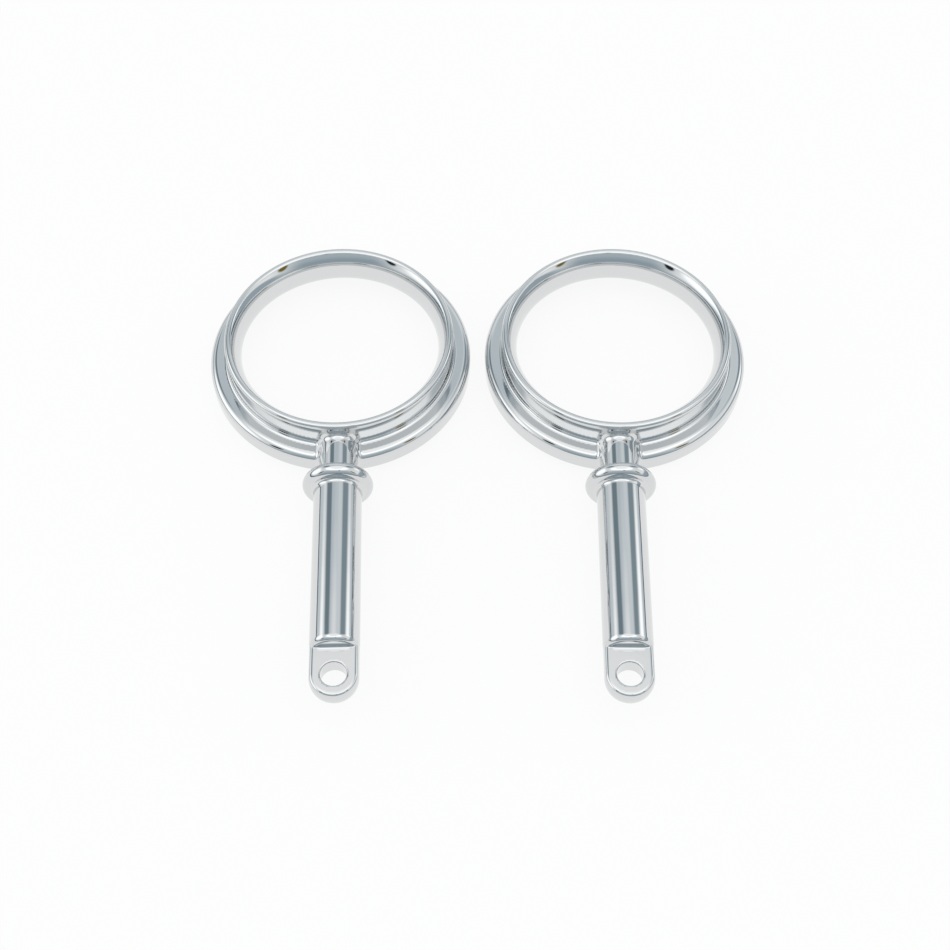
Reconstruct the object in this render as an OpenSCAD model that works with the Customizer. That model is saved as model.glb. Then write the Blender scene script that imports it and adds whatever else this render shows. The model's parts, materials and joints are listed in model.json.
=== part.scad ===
// Pair of closed ring rowlocks, each a one-piece chromed casting.
// They lie side by side on a level surface with both shanks towards -Y.
// Inside one casting, the origin is the ring's centre on the shank's axis,
// the shank runs along -Y and the ring's lip stands up along +Z.

/* [Ring] */
// Clear opening at the ring's throat, where the oar passes
throat_d = 54; // [50:0.5:56]
// Height of the throat above the shank's axis
throat_h = 2.1; // [1:0.1:3]
// Thickness of the band's wall at the throat
band_wall = 4.25; // [3.5:0.05:5]
// Height of the band's lip above the shank's axis
lip_h = 8.6; // [7.5:0.1:10]
// Radius of the rolled lip on top of the band
lip_r = 1.1; // [0.8:0.1:1.4]
// Radius of the rounded foot under the throat
foot_r = 4.9; // [3.5:0.1:5.5]

/* [Flange] */
// How far the flange stands out from the band
flange_w = 4.6; // [4:0.1:7]
// Height of the flange's flat top above the shank's axis
flange_top = 0.5; // [-0.5:0.1:1.5]
// Thickness of the flange
flange_t = 6.7; // [6:0.1:7.5]
// Radius of the flange's upper edge
upper_edge_r = 2.1; // [0.6:0.1:2.8]
// Radius of the flange's lower edge
lower_edge_r = 1.8; // [0.6:0.1:2]
// Radius of the cove between the band and the flange
cove_r = 1.1; // [0.5:0.1:1.5]

/* [Neck] */
// Clear length of the neck between the flange and the collar
neck_len = 6; // [5:0.1:8]
// Diameter of the neck between the ring and the collar
neck_d = 10; // [8:0.1:11]
// Radius of the fillet where the neck meets the band
root_r = 1.4; // [0.5:0.1:2]
// Radius of the fillets between the neck, the flange and the collar
neck_fillet_r = 1; // [0.4:0.1:1.4]

/* [Collar] */
// Diameter of the collar that bears on the socket
collar_d = 18.6; // [17:0.1:21]
// Thickness of the collar
collar_t = 4; // [3:0.1:5]
// Radius of the fillet under the collar
collar_fillet_r = 0.9; // [0.4:0.1:1.2]

/* [Shank] */
// Diameter of the shank that turns in the socket
shank_d = 12.7; // [11.5:0.1:13.5]
// Length of the shank from the collar to the shoulder
shank_len = 47.2; // [36:0.2:66]
// Radius of the shoulder's rounded edge
shoulder_r = 1.4; // [0.5:0.1:2]

/* [Tongue] */
// Thickness of the flat tongue
tongue_t = 4.8; // [3.5:0.1:6]
// How far the tongue's sides stand in from the shank's
side_step = 0.1; // [0.05:0.05:0.4]
// Radius of the tongue's rounded edges
tongue_edge_r = 0.6; // [0.3:0.1:0.9]
// Distance from the shoulder to the tongue's tip
tongue_len = 13.6; // [12.5:0.1:18]
// Radius of the cove between the shoulder and the tongue
step_fillet_r = 0.8; // [0.3:0.1:1.2]
// Diameter of the keeper hole
hole_d = 6.5; // [4:0.1:7.5]
// Radius of the keeper hole's rounded rims
hole_edge_r = 0.4; // [0.2:0.1:0.8]

/* [Pair] */
// Gap between the two flanges
pair_gap = 3.9; // [1:0.1:40]
// Turn of the left casting on the surface
turn_left = 1.5; // [-3:0.1:3]
// Turn of the right casting on the surface
turn_right = -0.4; // [-3:0.1:3]

/* [Hidden] */
// Segments in a full circle
$fn = 96;
// Overlap that buries one form in the next
bury = 1;
// Overlap of two arcs that blend, so that they cross instead of just touching
nick = 0.005;

// The ring's section, in radius and height
throat_rad = throat_d / 2;
band_rad = throat_rad + band_wall;
flange_rad = band_rad + flange_w;
flange_base = flange_top - flange_t;
lip_centre = [band_rad - lip_r, lip_h - lip_r];
// The foot is an eighth of a turn that runs out into a bevel at 45 degrees
foot_run = foot_r * (1 - cos(45)) + nick;
bevel_h = throat_h - foot_r * sin(45);
bevel_start = [throat_rad + foot_run, bevel_h];
bevel_end = bevel_start + (bevel_h - flange_base) * [1, -1];
// The bell mouth is an arc that leaves the throat upright and blends into the lip
bell_run = throat_rad - lip_centre[0];
bell_rise = lip_centre[1] - throat_h;
bell_touch = lip_r - nick;
bell_r = (pow(bell_run, 2) + pow(bell_rise, 2) - pow(bell_touch, 2)) / (-2 * (bell_run + bell_touch));
bell_centre = [throat_rad + bell_r, throat_h];
// A point outside the lip on the line through both arcs' centres
bell_end = lip_centre + (lip_centre - bell_centre) * (3 * lip_r / bell_r);
upper_edge = [flange_rad - upper_edge_r, flange_top - upper_edge_r];
lower_edge = [flange_rad - lower_edge_r, flange_base + lower_edge_r];

// Reaches are distances from the ring's centre along the shank
neck_rad = neck_d / 2;
collar_rad = collar_d / 2;
rim_r = collar_t / 2;
shank_rad = shank_d / 2;
root_reach = sqrt(pow(band_rad, 2) - pow(neck_rad + root_r, 2));
collar_start = flange_rad + neck_len;
collar_reach = collar_start + rim_r;
collar_end = collar_start + collar_t;
shoulder_reach = collar_end + shank_len;
shoulder_start = shoulder_reach - shoulder_r;
tongue_rad = shank_rad - side_step;
tip_centre = shoulder_reach + tongue_len - tongue_rad;
// Centre of the small fillet that touches both the neck and the flange's flat top
side_h = flange_top + neck_fillet_r - nick;
side_run = sqrt(pow(neck_rad + neck_fillet_r - nick, 2) - pow(side_h, 2));

// Centre of the small round between the tongue's flat and its side, and where it touches the side
tongue_half = tongue_t / 2;
edge_h = tongue_half - tongue_edge_r;
edge_run = sqrt(pow(tongue_rad - tongue_edge_r + nick, 2) - pow(edge_h, 2));
edge_touch = edge_h * tongue_rad / (tongue_rad - tongue_edge_r);
hole_rad = hole_d / 2;

// A casting rests on its collar's rim and on the far side of its ring
rest_run = lower_edge[0] + collar_reach;
rest_rise = lower_edge[1] + collar_rad - rim_r;
rest_slope = asin((rim_r - lower_edge_r) / norm([rest_run, rest_rise]));
rest_pitch = atan2(rest_rise, rest_run) + rest_slope;
rest_height = rim_r + (collar_rad - rim_r) * cos(rest_pitch) - collar_reach * sin(rest_pitch);

// The pair is centred on the origin
far_end = upper_edge[0] * cos(rest_pitch) + upper_edge[1] * sin(rest_pitch) + upper_edge_r;
near_end = tip_centre * cos(rest_pitch) + tongue_rad;
ring_y = (near_end - far_end) / 2;
ring_x = flange_rad + pair_gap / 2;

// Band, lip, bell mouth and foot as one section
module band_section() {
    translate(lip_centre) circle(lip_r);
    intersection() {
        translate(bell_centre) circle(bell_r);
        polygon([[throat_rad - bury, throat_h], bell_end, lip_centre,
            [band_rad, lip_centre[1]], [band_rad, throat_h]]);
    }
    intersection() {
        translate([throat_rad + foot_r - nick, throat_h]) circle(foot_r);
        translate([throat_rad - bury, bevel_h - bury / 2])
            square([band_rad - throat_rad + bury, throat_h - bevel_h + bury]);
    }
    difference() {
        translate([band_rad, flange_top]) square(cove_r);
        translate([band_rad + cove_r, flange_top + cove_r]) circle(cove_r);
    }
}

// Bevelled flange with rounded edges
module flange_section() {
    polygon([bevel_start, bevel_end, [lower_edge[0], flange_base], lower_edge, upper_edge,
        [upper_edge[0], flange_top], [band_rad, flange_top], [band_rad, bevel_h]]);
    polygon([lower_edge, [flange_rad, lower_edge[1]], [flange_rad, upper_edge[1]], upper_edge]);
    translate(upper_edge) circle(upper_edge_r);
    translate(lower_edge) circle(lower_edge_r);
}

module ring() {
    rotate_extrude() {
        band_section();
        flange_section();
    }
}

// Concave fillet that fills a corner, growing along the given signs
module inside_corner(corner, signs, r) {
    translate(corner) mirror([1 - signs[0], 0]) mirror([0, 1 - signs[1]]) difference() {
        translate([-bury / 2, -bury / 2]) square(r + bury / 2);
        translate([r, r]) circle(r);
    }
}

// Turns a section that is drawn across the shank, or in radius and reach, to lie along -Y
module along_shank() {
    rotate([90, 0, 0]) children();
}

// Half section of the neck, collar and shank, in radius and reach
module spine_section() {
    translate([0, root_reach - bury / 2]) square([neck_rad, collar_start - root_reach + bury]);
    translate([0, collar_start]) square([collar_rad - rim_r, collar_t]);
    translate([collar_rad - rim_r, collar_reach]) circle(rim_r);
    translate([0, collar_end - bury]) square([shank_rad, shoulder_start - collar_end + bury]);
    translate([0, shoulder_start - bury]) square([shank_rad - shoulder_r, shoulder_r + bury]);
    translate([shank_rad - shoulder_r, shoulder_start]) circle(shoulder_r);
    inside_corner([neck_rad, collar_start], [1, -1], neck_fillet_r);
    inside_corner([shank_rad, collar_end], [1, 1], collar_fillet_r);
}

// The neck's end follows the bevel under the ring
module spine() {
    difference() {
        along_shank() rotate_extrude() spine_section();
        rotate_extrude() polygon([[throat_rad, bevel_h], bevel_start + [bury / 2, 0],
            bevel_end + [3 * bury / 2, -bury], [throat_rad, flange_base - bury]]);
    }
}

// Fillet over the top of the neck where it leaves the band
module root() {
    along_shank() rotate_extrude(angle = 180)
        inside_corner([neck_rad, root_reach], [1, 1], root_r);
}

// Fillets beside the neck on the flange's flat top, which end in the flange's rounded edge
module side_fillets() {
    intersection() {
        along_shank() linear_extrude(flange_rad) for (side = [0, 1]) mirror([side, 0]) difference() {
            polygon([[0, upper_edge[1]], [side_run, upper_edge[1]], [side_run, side_h], [0, 0]]);
            translate([side_run, side_h]) circle(neck_fillet_r);
        }
        translate([0, 0, neck_fillet_r]) rotate_extrude() flange_section();
    }
}

// Section across the tongue: a circle between two flats, with rounded edges
module tongue_section() {
    intersection() {
        circle(tongue_rad);
        square([shank_d + bury, 2 * edge_touch], center = true);
    }
    square([2 * edge_run, tongue_t], center = true);
    for (x = [-edge_run, edge_run], y = [-edge_h, edge_h])
        translate([x, y]) circle(tongue_edge_r);
}

// Straight stretch, the ball-shaped tip and the coves against the shoulder
module tongue() {
    translate([0, bury - shoulder_start, 0]) along_shank()
        linear_extrude(tip_centre - shoulder_start + bury) tongue_section();
    translate([0, -tip_centre, 0]) rotate([0, 0, 180]) rotate_extrude(angle = 180) intersection() {
        tongue_section();
        translate([0, -tongue_half]) square([shank_d, tongue_t]);
    }
    intersection() {
        rotate([90, 0, -90]) linear_extrude(shank_d, center = true) for (side = [0, 1]) mirror([0, side])
            inside_corner([shoulder_reach, tongue_half], [1, 1], step_fillet_r);
        along_shank() cylinder(r = shank_rad - shoulder_r, h = tip_centre);
    }
}

// Keeper hole through the tongue, with rounded rims
module keeper_hole() {
    translate([0, -tip_centre, 0]) rotate_extrude() {
        translate([0, -tongue_half - bury]) square([hole_rad, tongue_t + 2 * bury]);
        for (side = [0, 1]) mirror([0, side]) difference() {
            translate([0, tongue_half - hole_edge_r]) square([hole_rad + hole_edge_r, hole_edge_r + bury]);
            translate([hole_rad + hole_edge_r, tongue_half - hole_edge_r]) circle(hole_edge_r);
        }
    }
}

// One whole casting in its own place
module rowlock() {
    difference() {
        union() {
            ring();
            spine();
            root();
            side_fillets();
            tongue();
        }
        keeper_hole();
    }
}

// Lays a casting down so that its collar and its ring's far side touch the surface
module laid(x, turn) {
    translate([x, ring_y, rest_height]) rotate([-rest_pitch, 0, turn]) rowlock();
}

module rowlock_left() {
    color([0.78, 0.8, 0.82]) laid(-ring_x, turn_left);
}

module rowlock_right() {
    color([0.78, 0.8, 0.82]) laid(ring_x, turn_right);
}

rowlock_left();
rowlock_right();
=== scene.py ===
import json
import math

import bpy
import numpy as np
from mathutils import Matrix, Vector


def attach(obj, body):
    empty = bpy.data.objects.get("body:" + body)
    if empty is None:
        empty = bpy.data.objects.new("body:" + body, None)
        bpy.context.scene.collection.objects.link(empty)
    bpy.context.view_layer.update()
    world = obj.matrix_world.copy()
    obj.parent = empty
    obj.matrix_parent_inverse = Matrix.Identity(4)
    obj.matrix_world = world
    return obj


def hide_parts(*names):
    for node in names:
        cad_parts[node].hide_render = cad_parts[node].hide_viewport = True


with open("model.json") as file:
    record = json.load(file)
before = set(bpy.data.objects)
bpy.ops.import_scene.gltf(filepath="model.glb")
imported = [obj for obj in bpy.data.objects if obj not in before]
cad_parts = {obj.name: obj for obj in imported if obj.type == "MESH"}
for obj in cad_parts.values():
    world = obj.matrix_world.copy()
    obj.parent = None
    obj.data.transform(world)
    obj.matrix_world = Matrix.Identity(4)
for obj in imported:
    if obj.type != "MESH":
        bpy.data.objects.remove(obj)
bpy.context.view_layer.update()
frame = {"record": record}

MM = 0.001

# One casting, in millimetres, as in the CAD: its origin is the ring's centre on the shank's axis,
# the shank runs along -Y and the ring's lip stands up along +Z
THROAT_R = 27.0
THROAT_H = 2.1
BAND_R = THROAT_R + 4.25
LIP_H = 8.6
LIP_R = 1.1
BELL_SLANT = 3.5        # degrees by which the band leans out towards its lip
FOOT_R = 4.9
FLANGE_R = BAND_R + 4.6
FLANGE_TOP = 0.5
FLANGE_BASE = FLANGE_TOP - 6.7
UPPER_EDGE_R = 2.1
LOWER_EDGE_R = 1.8
COVE_R = 1.1
NECK_R = 5.0
NECK_FILLET_R = 1.0
COLLAR_R = 9.3
COLLAR_T = 4.0
COLLAR_START = FLANGE_R + 6.0
COLLAR_END = COLLAR_START + COLLAR_T
COLLAR_FILLET_R = 0.9
SHANK_R = 6.35
SHOULDER = COLLAR_END + 47.2
SHOULDER_R = 1.4
TONGUE_R = SHANK_R - 0.1
TONGUE_HALF = 2.4
TONGUE_EDGE_R = 0.6
TIP_CENTRE = SHOULDER + 13.6 - TONGUE_R
HOLE_R = 3.25
HOLE_EDGE_R = 0.4
ROOT_BLEND = 1.7        # width over which the neck melts into the ring
STEP_BLEND = 1.0        # the same where the tongue leaves the shoulder
STEP_FADE = 0.6         # width over which the step's blend fades out at the shoulder's edge
NECK_INSIDE = 30.1      # where the neck starts, inside the band's wall
NECK_UNDER = 0.35       # how deep under the foot's bevel the neck ends below the ring
CRISP_R = 0.01          # radius of a cut that stays sharp
HALF_SQUARE = math.sqrt(0.5)    # either part of a 45-degree direction
SIDES = ("left", "right")

# How finely the castings are made, in millimetres
GRAIN = 0.395           # spacing of a casting's points
FAIRING_ROUNDS = 4      # times that the points are drawn onto the true form
FAIRING_REACH = 0.3     # the furthest that they move each time
POINTS_AT_ONCE = 20000  # compared with a section in one go

# Bend of an edge, in radians per millimetre, from which the plate looks rubbed, and up to full wear
WEAR_FROM = 0.12
WEAR_SPAN = 0.35

TABLE_HALF = 1.5        # metres

# Camera, as worked out from the photograph's perspective
FOCAL_PIXELS = 1766.0
PICTURE_PIXELS = 950.0
SENSOR_MM = 36.0
VIEW_SLOPE = math.radians(55.9)       # between the line of sight and the castings' plane
VIEW_DISTANCE = 0.465
RINGS_IN_VIEW = Vector((0.0007, 0.0405, 0.0))   # midway between the rings, in the castings' plane


def lay_of(side):
    """Where a casting lies: its own millimetres to the frame's metres, from the record's mounts."""
    mounts = {m["name"]: m for m in frame["record"]["mounts"]}
    shank = mounts[side + "_shank"]
    hole = mounts[side + "_keeper_hole"]
    out = Vector(shank["axis"]).normalized()
    up = Vector(hole["axis"]).normalized()
    across = (-out).cross(up)
    ring = Vector(hole["pos_m"]) - out * TIP_CENTRE * MM
    turn = Matrix((across, -out, up)).transposed().to_4x4()
    return Matrix.Translation(ring) @ turn @ Matrix.Diagonal((MM, MM, MM, 1.0))


LAY = {side: lay_of(side) for side in SIDES}
REST_PITCH = math.asin(LAY["left"].to_3x3().normalized().col[2].cross(Vector((0, 0, 1))).length)
RINGS_IN_FRAME = (LAY["left"].translation + LAY["right"].translation) / 2


def place_camera():
    """Stands the camera where the photograph was taken from."""
    data = bpy.data.cameras.new("camera")
    data.sensor_width = SENSOR_MM
    data.lens = FOCAL_PIXELS / PICTURE_PIXELS * SENSOR_MM
    data.clip_start = 0.01
    data.clip_end = 20.0
    camera = bpy.data.objects.new("camera", data)
    bpy.context.collection.objects.link(camera)
    tilt = Matrix.Rotation(-REST_PITCH, 4, "X")
    eye = Vector((0.0, -VIEW_DISTANCE * math.cos(VIEW_SLOPE), VIEW_DISTANCE * math.sin(VIEW_SLOPE)))
    place = Matrix.Translation(RINGS_IN_FRAME) @ tilt @ Matrix.Translation(eye - RINGS_IN_VIEW)
    turn = Matrix.Rotation(math.pi / 2 - VIEW_SLOPE, 4, "X")
    camera.matrix_world = place @ turn
    bpy.context.scene.camera = camera


def maths(tree, operation, a, b=None, c=None, clamp=False):
    """A Math node whose inputs are sockets or numbers."""
    n = tree.nodes.new("ShaderNodeMath")
    n.operation = operation
    n.use_clamp = clamp
    for i, v in enumerate((a, b, c)):
        if v is None:
            continue
        if isinstance(v, (int, float)):
            n.inputs[i].default_value = v
        else:
            tree.links.new(v, n.inputs[i])
    return n.outputs[0]


def ramp(tree, value, stops):
    """A colour ramp of (position, colour) stops."""
    n = tree.nodes.new("ShaderNodeValToRGB")
    tree.links.new(value, n.inputs["Fac"])
    elements = n.color_ramp.elements
    while len(elements) > 1:
        elements.remove(elements[0])
    for i, (position, colour) in enumerate(stops):
        stop = elements[0] if i == 0 else elements.new(position)
        stop.position = position
        stop.color = (*colour, 1.0)
    return n.outputs["Color"]


def mix_colour(tree, factor, a, b):
    """A mix of two colours, each a socket or a plain colour."""
    n = tree.nodes.new("ShaderNodeMix")
    n.data_type = "RGBA"
    n.clamp_factor = True
    for name, v in (("Factor", factor), ("A", a), ("B", b)):
        socket = [s for s in n.inputs if s.name == name and s.enabled][0]
        if isinstance(v, (int, float)):
            socket.default_value = v
        elif isinstance(v, tuple):
            socket.default_value = (*v, 1.0)
        else:
            tree.links.new(v, socket)
    return [s for s in n.outputs if s.enabled][0]


# ---------------------------------------------------------------- the castings' form

def arc(centre, radius, start, end, hollow=False, steps=14):
    """Points on an arc, in degrees, each with the normal that points out of the metal."""
    sign = -1.0 if hollow else 1.0
    out = []
    for i in range(steps + 1):
        a = math.radians(start + (end - start) * i / steps)
        c, s = math.cos(a), math.sin(a)
        out.append((centre[0] + radius * c, centre[1] + radius * s, sign * c, sign * s))
    return out


def foot_arc():
    """The rounded foot of the throat, down to where its bevel starts."""
    return arc((THROAT_R + FOOT_R, THROAT_H), FOOT_R, 180, 225)


def ring_section():
    """The ring's closed section: radius, height and normal, from the throat down and round."""
    lip = (BAND_R - LIP_R, LIP_H - LIP_R)
    run, rise = THROAT_R - lip[0], lip[1] - THROAT_H
    bell_r = (run ** 2 + rise ** 2 - LIP_R ** 2) / (-2 * (run + LIP_R))
    bell = (THROAT_R + bell_r, THROAT_H)
    meet = math.degrees(math.atan2(lip[1] - bell[1], lip[0] - bell[0]))
    foot = foot_arc()
    drop = foot[-1][1] - FLANGE_BASE
    bevel_end = (foot[-1][0] + drop, FLANGE_BASE)
    upper = (FLANGE_R - UPPER_EDGE_R, FLANGE_TOP - UPPER_EDGE_R)
    lower = (FLANGE_R - LOWER_EDGE_R, FLANGE_BASE + LOWER_EDGE_R)
    lean = math.radians(BELL_SLANT)
    top = (lip[0] + LIP_R * math.cos(lean), lip[1] - LIP_R * math.sin(lean))
    cove_h = FLANGE_TOP + COVE_R
    cove = (top[0] + (COVE_R + (cove_h - top[1]) * math.sin(lean)) / math.cos(lean), cove_h)
    return (foot + [(*bevel_end, -HALF_SQUARE, -HALF_SQUARE), (*bevel_end, 0.0, -1.0)]
            + arc(lower, LOWER_EDGE_R, -90, 0) + arc(upper, UPPER_EDGE_R, 0, 90)
            + arc(cove, COVE_R, 270, 180 - BELL_SLANT, hollow=True)
            + arc(lip, LIP_R, -BELL_SLANT, meet, steps=20) + arc(bell, bell_r, meet, 180))


def spine_section():
    """The turned neck, collar and shank: radius, reach along the shank and normal."""
    rim = COLLAR_T / 2
    middle = (COLLAR_START + COLLAR_END) / 2
    above = (NECK_R + NECK_FILLET_R, COLLAR_START - NECK_FILLET_R)
    below = (SHANK_R + COLLAR_FILLET_R, COLLAR_END + COLLAR_FILLET_R)
    return ([(0.0, NECK_INSIDE, 0.0, -1.0), (NECK_R, NECK_INSIDE, 0.0, -1.0),
             (NECK_R, NECK_INSIDE, 1.0, 0.0)]
            + arc(above, NECK_FILLET_R, 180, 90, hollow=True)
            + arc((COLLAR_R - rim, middle), rim, -90, 90, steps=24)
            + arc(below, COLLAR_FILLET_R, 270, 180, hollow=True)
            + arc((SHANK_R - SHOULDER_R, SHOULDER - SHOULDER_R), SHOULDER_R, 0, 90)
            + [(0.0, SHOULDER, 0.0, 1.0)])


def to_section(points, section, closed):
    """Signed distance of 2-D points from a section, and the section's normal nearest to each."""
    table = np.array(section + section[:1] if closed else section)
    a, b = table[:-1], table[1:]
    step = b[:, :2] - a[:, :2]
    length = np.maximum((step ** 2).sum(1), 1e-12)
    distance = np.empty(len(points))
    normal = np.empty((len(points), 2))
    for lo in range(0, len(points), POINTS_AT_ONCE):
        batch = slice(lo, lo + POINTS_AT_ONCE)
        p = points[batch]
        off = p[:, None, :] - a[None, :, :2]
        t = np.clip((off * step).sum(2) / length, 0.0, 1.0)
        away = off - t[..., None] * step
        nearest = (away ** 2).sum(2).argmin(1)
        rows = np.arange(len(p))
        t = t[rows, nearest][:, None]
        n = a[nearest, 2:] * (1 - t) + b[nearest, 2:] * t
        n /= np.maximum(np.linalg.norm(n, axis=1), 1e-9)[:, None]
        q = away[rows, nearest]
        distance[batch] = np.sign((q * n).sum(1)) * np.linalg.norm(q, axis=1)
        normal[batch] = n
    return distance, normal


def melt(a, ga, b, gb, width):
    """Union of two forms whose corner is filled in over a width."""
    h = np.clip(0.5 + 0.5 * (b - a) / np.maximum(width, 1e-6), 0.0, 1.0)
    return b * (1 - h) + a * h - width * h * (1 - h), gb * (1 - h)[:, None] + ga * h[:, None]


def cut(a, ga, b, gb, radius):
    """Intersection of two forms whose edge is rounded."""
    p, q = a + radius, b + radius
    both = (p > 0) & (q > 0)
    size = np.sqrt(np.maximum(p, 0) ** 2 + np.maximum(q, 0) ** 2)
    d = np.where(both, size - radius, np.maximum(a, b))
    g = np.where((a > b)[:, None], ga, gb)
    round_g = ga * np.maximum(p, 0)[:, None] + gb * np.maximum(q, 0)[:, None]
    round_g /= np.maximum(size, 1e-9)[:, None]
    return d, np.where(both[:, None], round_g, g)


def casting_form(p):
    """Distance of points from the casting's surface, and its direction of growth there."""
    x, y, z = p.T
    zero = np.zeros(len(p))
    r = np.maximum(np.hypot(x, y), 1e-9)
    ring, n = to_section(np.stack([r, z], 1), ring_section(), True)
    ring_g = np.stack([n[:, 0] * x / r, n[:, 0] * y / r, n[:, 1]], 1)

    rho = np.maximum(np.hypot(x, z), 1e-9)
    spine, n = to_section(np.stack([rho, -y], 1), spine_section(), False)
    spine_g = np.stack([n[:, 0] * x / rho, -n[:, 1], n[:, 0] * z / rho], 1)
    # under the ring, the neck ends inside the bevel
    foot_end = foot_arc()[-1]
    bevel = -((r - foot_end[0]) + (z - foot_end[1])) * HALF_SQUARE + NECK_UNDER
    bevel_g = -HALF_SQUARE * np.stack([x / r, y / r, zero + 1.0], 1)
    spine, spine_g = cut(spine, spine_g, bevel, bevel_g, CRISP_R)

    along = np.maximum(-y - TIP_CENTRE, 0.0)
    size = np.maximum(np.sqrt(x ** 2 + z ** 2 + along ** 2), 1e-9)
    tongue, tongue_g = size - TONGUE_R, np.stack([x, -along, z], 1) / size[:, None]
    flats, flats_g = np.abs(z) - TONGUE_HALF, np.stack([zero, zero, np.sign(z)], 1)
    tongue, tongue_g = cut(tongue, tongue_g, flats, flats_g, TONGUE_EDGE_R)
    hole_size = np.maximum(np.hypot(x, y + TIP_CENTRE), 1e-9)
    hole = HOLE_R - hole_size
    hole_g = -np.stack([x, y + TIP_CENTRE, zero], 1) / hole_size[:, None]
    tongue, tongue_g = cut(tongue, tongue_g, hole, hole_g, HOLE_EDGE_R)
    start = (SHOULDER - SHOULDER_R) + y
    start_g = np.stack([zero, zero + 1.0, zero], 1)
    tongue, tongue_g = cut(tongue, tongue_g, start, start_g, CRISP_R)

    fade = np.clip((SHANK_R - SHOULDER_R - np.hypot(x, z)) / STEP_FADE, 0.0, 1.0)
    blend = np.where(np.abs(z) > TONGUE_HALF - STEP_FADE / 2, STEP_BLEND * fade, 0.0)
    d, g = melt(spine, spine_g, tongue, tongue_g, blend)
    return melt(ring, ring_g, d, g, ROOT_BLEND + zero)


def turned_form_tree():
    """Geometry Nodes: turns a section of radius and height about the ring's axis or the shank's."""
    tree = bpy.data.node_groups.new("turned_form", "GeometryNodeTree")
    face = tree.interface
    face.new_socket("Section", in_out="INPUT", socket_type="NodeSocketGeometry")
    for name, kind, value in (("Steps Around", "NodeSocketInt", 180),
                              ("Steps Along", "NodeSocketInt", 160),
                              ("About The Shank", "NodeSocketBool", False),
                              ("Metal", "NodeSocketMaterial", None)):
        socket = face.new_socket(name, in_out="INPUT", socket_type=kind)
        if value is not None:
            socket.default_value = value
    face.new_socket("Form", in_out="OUTPUT", socket_type="NodeSocketGeometry")
    ins, outs = tree.nodes.new("NodeGroupInput"), tree.nodes.new("NodeGroupOutput")
    link = tree.links.new

    curve = tree.nodes.new("GeometryNodeMeshToCurve")
    link(ins.outputs["Section"], curve.inputs["Mesh"])
    grid = tree.nodes.new("GeometryNodeMeshGrid")
    grid.inputs["Size X"].default_value = 1.0
    grid.inputs["Size Y"].default_value = 1.0
    link(ins.outputs["Steps Around"], grid.inputs["Vertices X"])
    link(ins.outputs["Steps Along"], grid.inputs["Vertices Y"])
    place = tree.nodes.new("ShaderNodeSeparateXYZ")
    link(tree.nodes.new("GeometryNodeInputPosition").outputs[0], place.inputs[0])
    angle = maths(tree, "MULTIPLY", maths(tree, "ADD", place.outputs["X"], 0.5), 2 * math.pi)
    sample = tree.nodes.new("GeometryNodeSampleCurve")
    sample.mode = "FACTOR"
    link(curve.outputs["Curve"], sample.inputs["Curves"])
    link(maths(tree, "ADD", place.outputs["Y"], 0.5, clamp=True), sample.inputs["Factor"])
    drawn = tree.nodes.new("ShaderNodeSeparateXYZ")
    link(sample.outputs["Position"], drawn.inputs[0])
    radius, height = drawn.outputs["X"], drawn.outputs["Z"]
    across = maths(tree, "MULTIPLY", radius, maths(tree, "SINE", angle))
    other = maths(tree, "MULTIPLY", radius, maths(tree, "COSINE", angle))
    ring = tree.nodes.new("ShaderNodeCombineXYZ")
    for socket, value in zip(ring.inputs, (across, maths(tree, "MULTIPLY", other, -1.0), height)):
        link(value, socket)
    shank = tree.nodes.new("ShaderNodeCombineXYZ")
    for socket, value in zip(shank.inputs, (across, maths(tree, "MULTIPLY", height, -1.0), other)):
        link(value, socket)
    choose = tree.nodes.new("GeometryNodeSwitch")
    choose.input_type = "VECTOR"
    link(ins.outputs["About The Shank"], choose.inputs["Switch"])
    link(ring.outputs[0], choose.inputs["False"])
    link(shank.outputs[0], choose.inputs["True"])
    move = tree.nodes.new("GeometryNodeSetPosition")
    link(grid.outputs["Mesh"], move.inputs["Geometry"])
    link(choose.outputs["Output"], move.inputs["Position"])
    merge = tree.nodes.new("GeometryNodeMergeByDistance")
    merge.inputs["Distance"].default_value = 1e-6
    link(move.outputs[0], merge.inputs["Geometry"])
    real = tree.nodes.new("GeometryNodeRealizeInstances")
    link(merge.outputs[0], real.inputs[0])
    paint = tree.nodes.new("GeometryNodeSetMaterial")
    link(real.outputs[0], paint.inputs["Geometry"])
    link(ins.outputs["Metal"], paint.inputs["Material"])
    link(paint.outputs[0], outs.inputs["Form"])
    return tree


def plain_copy(ob):
    """The object's finished mesh, with its modifiers applied; the object itself is removed."""
    bpy.context.view_layer.update()
    deps = bpy.context.evaluated_depsgraph_get()
    mesh = bpy.data.meshes.new_from_object(ob.evaluated_get(deps))
    bpy.data.objects.remove(ob)
    return mesh


def linked(name, mesh):
    """An object with this mesh, in the scene."""
    ob = bpy.data.objects.new(name, mesh)
    bpy.context.collection.objects.link(ob)
    return ob


def turned(tree, section, closed, about_shank, metal):
    """One turned form, in metres, from a section in millimetres."""
    mesh = bpy.data.meshes.new("section")
    points = [(s[0] * MM, 0.0, s[1] * MM) for s in section]
    points = [p for i, p in enumerate(points)
              if i == 0 or (Vector(p) - Vector(points[i - 1])).length > 1e-7]
    count = len(points)
    edges = [(i, (i + 1) % count) for i in range(count if closed else count - 1)]
    mesh.from_pydata(points, edges, [])
    ob = linked("section", mesh)
    modifier = ob.modifiers.new("turned", "NODES")
    modifier.node_group = tree
    named = {s.name: s.identifier for s in tree.interface.items_tree if s.in_out == "INPUT"}
    modifier[named["About The Shank"]] = about_shank
    modifier[named["Metal"]] = metal
    return plain_copy(ob)


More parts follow.
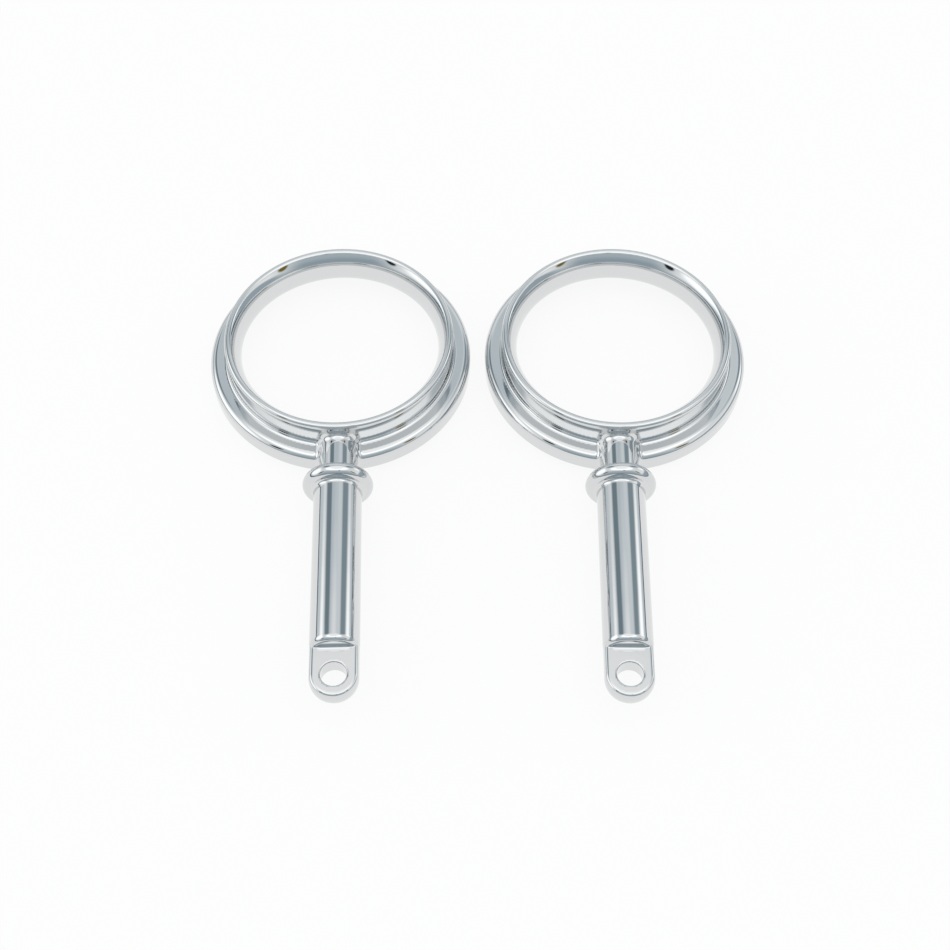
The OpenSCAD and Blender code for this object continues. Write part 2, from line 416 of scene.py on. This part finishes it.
def tongue_blank(steps=128):
    """A closed flat blank round the keeper hole, in metres, which the true form then shapes."""
    rings = []
    for radius, z in ((HOLE_R, 1), (None, 1), (None, -1), (HOLE_R, -1)):
        ring = []
        for i in range(steps):
            a = 2 * math.pi * i / steps
            dx, dy = math.sin(a), math.cos(a)
            reach = radius
            if reach is None:
                # a strip with square corners towards the shoulder, round towards the tip
                reach = TONGUE_R
                if dy > 0:
                    inside = TIP_CENTRE - (SHOULDER - 1.0)
                    reach = min(TONGUE_R / max(abs(dx), 1e-6), inside / max(dy, 1e-6))
            ring.append((dx * reach * MM, (dy * reach - TIP_CENTRE) * MM, z * TONGUE_HALF * MM))
        rings.append(ring)
    points = [p for ring in rings for p in ring]
    faces = []
    for k in range(4):
        for i in range(steps):
            j, m = (i + 1) % steps, (k + 1) % 4
            faces.append((k * steps + i, k * steps + j, m * steps + j, m * steps + i))
    mesh = bpy.data.meshes.new("tongue_blank")
    mesh.from_pydata(points, [], faces)
    return mesh


def casting_points(metal):
    """One casting fused from its turned forms and its tongue, faired onto the true form."""
    tree = turned_form_tree()
    parts = [turned(tree, ring_section(), True, False, metal),
             turned(tree, spine_section(), False, True, metal),
             tongue_blank()]
    joined = bpy.data.meshes.new("blank")
    points, faces = [], []
    for mesh in parts:
        start = len(points)
        points += [v.co[:] for v in mesh.vertices]
        faces += [[start + i for i in f.vertices] for f in mesh.polygons]
    joined.from_pydata(points, [], faces)
    ob = linked("blank", joined)
    fuse = ob.modifiers.new("fuse", "REMESH")
    fuse.mode = "VOXEL"
    fuse.voxel_size = GRAIN * MM
    mesh = plain_copy(ob)
    p = np.empty(len(mesh.vertices) * 3)
    mesh.vertices.foreach_get("co", p)
    p = p.reshape(-1, 3) / MM
    for _ in range(FAIRING_ROUNDS):
        d, g = casting_form(p)
        step = np.clip(d, -FAIRING_REACH, FAIRING_REACH) / np.maximum((g ** 2).sum(1), 0.25)
        p -= g * step[:, None]
    d, g = casting_form(p)
    return mesh, p, g / np.linalg.norm(g, axis=1)[:, None]


def edge_mask(mesh, p, n):
    """How sharply the surface turns outwards at each point, 0 to 1, where plate wears first."""
    e = np.empty(len(mesh.edges) * 2, dtype=np.int32)
    mesh.edges.foreach_get("vertices", e)
    i, j = e.reshape(-1, 2).T
    step = p[j] - p[i]
    bend = ((n[j] - n[i]) * step).sum(1) / np.maximum((step ** 2).sum(1), 1e-6)
    total, count = np.zeros(len(p)), np.zeros(len(p))
    for k in (i, j):
        np.add.at(total, k, bend)
        np.add.at(count, k, 1)
    return np.clip((total / np.maximum(count, 1) - WEAR_FROM) / WEAR_SPAN, 0.0, 1.0)


def castings(metal):
    """Both castings, each in its own place, standing for its CAD node."""
    mesh, p, n = casting_points(metal)
    wear = edge_mask(mesh, p, n)
    for side, lay in LAY.items():
        own = mesh.copy()
        own.name = side + "_casting"
        turn = np.array(lay.to_3x3().normalized())
        placed = p @ np.array(lay.to_3x3()).T + np.array(lay.translation)
        own.vertices.foreach_set("co", placed.astype(np.float32).ravel())
        own.materials.clear()
        own.materials.append(metal)
        own.polygons.foreach_set("use_smooth", [True] * len(own.polygons))
        edge = own.attributes.new("edge", "FLOAT", "POINT")
        edge.data.foreach_set("value", wear.astype(np.float32))
        own.update()
        own.normals_split_custom_set_from_vertices((n @ turn.T).astype(np.float32))
        piece = linked(side + "_casting", own)
        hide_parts("rowlock_" + side)
        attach(piece, side + "_rowlock")


def between(tree, value, low, high):
    """0 below low, 1 above high, smooth in between; high may be the smaller one."""
    n = tree.nodes.new("ShaderNodeMapRange")
    n.interpolation_type = "SMOOTHSTEP"
    tree.links.new(value, n.inputs["Value"])
    n.inputs["From Min"].default_value = low
    n.inputs["From Max"].default_value = high
    return n.outputs["Result"]


def patch(tree, turn, lift, centre, half, soft):
    """A soft-edged oval in the studio, by its direction and half sizes in degrees."""
    aside = maths(tree, "DIVIDE", maths(tree, "SUBTRACT", turn, float(centre[0])), float(half[0]))
    above = maths(tree, "DIVIDE", maths(tree, "SUBTRACT", lift, float(centre[1])), float(half[1]))
    above_squared = maths(tree, "MULTIPLY", above, above)
    reach = maths(tree, "SQRT", maths(tree, "MULTIPLY_ADD", aside, aside, above_squared))
    return between(tree, reach, 1.0 + soft, 1.0 - soft)


# Brightness by height, from the table's level (0) to overhead (1)
SIDE_LIGHT = [(0.0, 0.1), (0.03, 0.15), (0.06, 0.62), (0.14, 1.1), (0.24, 1.05), (0.48, 0.9),
              (0.58, 0.95), (0.66, 1.5), (0.75, 1.55), (0.84, 1.2), (1.0, 1.15)]
FRONT_LIGHT = [(0.0, 0.1), (0.03, 0.15), (0.06, 0.45), (0.14, 0.41), (0.21, 0.46), (0.3, 0.55),
               (0.44, 0.56), (0.52, 0.85), (0.58, 0.9), (0.66, 1.5), (0.75, 1.6), (0.84, 1.2),
               (1.0, 1.15)]
BACK_LIGHT = [(0.0, 0.1), (0.03, 0.15), (0.06, 0.7), (0.15, 0.74), (0.25, 0.84), (0.4, 0.92),
              (0.5, 0.72), (0.58, 0.64), (0.62, 0.78), (0.66, 1.0), (0.7, 1.08), (0.84, 1.2),
              (1.0, 1.15)]
# Degrees from the back over which the side light gives way to the front's and to the back's
SIDE_TO_FRONT = (108.0, 150.0)
SIDE_TO_BACK = (72.0, 58.0)
# Panels and posts round the table: direction from the back and height, half width and half height,
# all in degrees, then softness and brightness
PANELS = [
    ((-40, 41), (12, 12), 0.4, 0.26),
    ((42, 37), (12, 13), 0.4, 0.33),
    ((22, 52), (14, 6), 0.6, 0.8),
    ((-65, 27), (10, 8), 0.5, 1.4),
    ((62, 23), (9, 9), 0.5, 1.4),
    ((-88, 25), (26, 17), 0.25, 1.45),
    ((95, 10), (30, 9), 0.35, 0.46),
    ((-128.5, 30), (5, 10), 0.3, 0.02),
    ((169, 49), (4, 4), 0.5, 0.08),
]
BRASS_POST = ((125.5, 30), (5, 10), 0.3, (0.2, 0.15, 0.03))


def studio_grey(level):
    """The studio's grey, a little bluer where it is darker."""
    dark = max(0.0, 1.0 - level)
    return (level * (1.0 - 0.3 * dark), level, level * (1.0 + 0.18 * dark))


def graded(stops):
    """Stops of brightness as stops of the studio's grey."""
    return [(height, studio_grey(level)) for height, level in stops]


def studio_world():
    """The studio that the polished metal mirrors: bright sides, a greyer front, a dark skirting."""
    world = bpy.data.worlds.new("studio")
    bpy.context.scene.world = world
    world.use_nodes = True
    t = world.node_tree
    t.nodes.clear()
    out = t.nodes.new("ShaderNodeOutputWorld")
    back = t.nodes.new("ShaderNodeBackground")
    split = t.nodes.new("ShaderNodeSeparateXYZ")
    t.links.new(t.nodes.new("ShaderNodeTexCoord").outputs["Generated"], split.inputs[0])
    x, y, z = split.outputs
    lift = maths(t, "MULTIPLY", maths(t, "ARCSINE", z), 180 / math.pi)
    turn = maths(t, "MULTIPLY", maths(t, "ARCTAN2", x, y), 180 / math.pi)       # 0 is the back
    height = maths(t, "DIVIDE", lift, 90.0)
    aside = maths(t, "ABSOLUTE", turn)
    side, front, rear = (ramp(t, height, graded(stops))
                         for stops in (SIDE_LIGHT, FRONT_LIGHT, BACK_LIGHT))
    tent = mix_colour(t, between(t, aside, *SIDE_TO_FRONT), side, front)
    tent = mix_colour(t, between(t, aside, *SIDE_TO_BACK), tent, rear)
    for centre, half, soft, level in PANELS:
        tent = mix_colour(t, patch(t, turn, lift, centre, half, soft), tent, studio_grey(level))
    centre, half, soft, brass = BRASS_POST
    tent = mix_colour(t, patch(t, turn, lift, centre, half, soft), tent, brass)
    # beyond the table the camera sees plain white
    seen = t.nodes.new("ShaderNodeLightPath").outputs["Is Camera Ray"]
    tent = mix_colour(t, seen, tent, (1.0, 1.0, 1.0))
    t.links.new(tent, back.inputs["Color"])
    t.links.new(back.outputs[0], out.inputs["Surface"])


def chrome():
    """Bright chrome plate over a slightly wavy zinc casting."""
    m = bpy.data.materials.new("bright_chrome")
    m.use_nodes = True
    t = m.node_tree
    shader = t.nodes["Principled BSDF"]
    shader.inputs["Metallic"].default_value = 1.0
    where = t.nodes.new("ShaderNodeTexCoord").outputs["Object"]
    mottle = t.nodes.new("ShaderNodeGroup")
    mottle.node_tree = mottle_group()
    t.links.new(where, mottle.inputs["Where"])
    worn = t.nodes.new("ShaderNodeAttribute")
    worn.attribute_name = "edge"
    plate = mix_colour(t, mottle.outputs["Cloud"], (0.68, 0.695, 0.70), (0.70, 0.71, 0.715))
    patchy = maths(t, "MULTIPLY", mottle.outputs["Speck"], 0.5)
    rubbed = maths(t, "MULTIPLY", worn.outputs["Fac"], patchy)
    plate = mix_colour(t, rubbed, plate, (0.60, 0.62, 0.62))
    t.links.new(plate, shader.inputs["Base Color"])
    haze = maths(t, "MULTIPLY_ADD", mottle.outputs["Cloud"], 0.03, 0.02)
    t.links.new(maths(t, "MULTIPLY_ADD", rubbed, 0.10, haze), shader.inputs["Roughness"])
    wave = t.nodes.new("ShaderNodeBump")
    wave.inputs["Strength"].default_value = 1.0
    wave.inputs["Distance"].default_value = 0.00003
    t.links.new(mottle.outputs["Wave"], wave.inputs["Height"])
    t.links.new(wave.outputs["Normal"], shader.inputs["Normal"])
    return m


def mottle_group():
    """Shared by the plate and the table: a slow wave, a soft cloud and fine specks, each 0 to 1."""
    made = bpy.data.node_groups.get("mottle")
    if made:
        return made
    t = bpy.data.node_groups.new("mottle", "ShaderNodeTree")
    t.interface.new_socket("Where", in_out="INPUT", socket_type="NodeSocketVector")
    sizes = (("Wave Scale", 90.0), ("Cloud Scale", 160.0), ("Speck Scale", 900.0))
    for name, value in sizes:
        socket = t.interface.new_socket(name, in_out="INPUT", socket_type="NodeSocketFloat")
        socket.default_value = value
    for name in ("Wave", "Cloud", "Speck"):
        t.interface.new_socket(name, in_out="OUTPUT", socket_type="NodeSocketFloat")
    ins, outs = t.nodes.new("NodeGroupInput"), t.nodes.new("NodeGroupOutput")
    for (name, _), detail in zip(sizes, (1.0, 3.0, 4.0)):
        noise = t.nodes.new("ShaderNodeTexNoise")
        noise.inputs["Detail"].default_value = detail
        t.links.new(ins.outputs["Where"], noise.inputs["Vector"])
        t.links.new(ins.outputs[name], noise.inputs["Scale"])
        t.links.new(noise.outputs["Fac"], outs.inputs[name.split()[0]])
    return t


def floor():
    """A white table that keeps the castings' soft shadow."""
    mesh = bpy.data.meshes.new("table")
    corners = [(x * TABLE_HALF, y * TABLE_HALF, 0) for x, y in ((-1, -1), (1, -1), (1, 1), (-1, 1))]
    mesh.from_pydata(corners, [], [(0, 1, 2, 3)])
    table = linked("table", mesh)
    m = bpy.data.materials.new("white_table")
    m.use_nodes = True
    t = m.node_tree
    shader = t.nodes["Principled BSDF"]
    shader.inputs["Roughness"].default_value = 0.9
    mottle = t.nodes.new("ShaderNodeGroup")
    mottle.node_tree = mottle_group()
    t.links.new(t.nodes.new("ShaderNodeTexCoord").outputs["Object"], mottle.inputs["Where"])
    white = mix_colour(t, mottle.outputs["Cloud"], (0.92, 0.92, 0.92), (0.95, 0.95, 0.95))
    t.links.new(white, shader.inputs["Base Color"])
    # the camera and the chrome see the table as nearly white paper, with some of its shadow left
    paper = t.nodes.new("ShaderNodeEmission")
    path = t.nodes.new("ShaderNodeLightPath")
    seen = maths(t, "MAXIMUM", maths(t, "MULTIPLY", path.outputs["Is Camera Ray"], 0.88),
                 maths(t, "MULTIPLY", path.outputs["Is Glossy Ray"], 0.97))
    mix = t.nodes.new("ShaderNodeMixShader")
    t.links.new(seen, mix.inputs["Fac"])
    t.links.new(shader.outputs[0], mix.inputs[1])
    t.links.new(paper.outputs[0], mix.inputs[2])
    t.links.new(mix.outputs[0], t.nodes["Material Output"].inputs["Surface"])
    mesh.materials.append(m)


place_camera()
studio_world()
floor()
castings(chrome())

scene = bpy.context.scene
scene.view_settings.view_transform = "Standard"
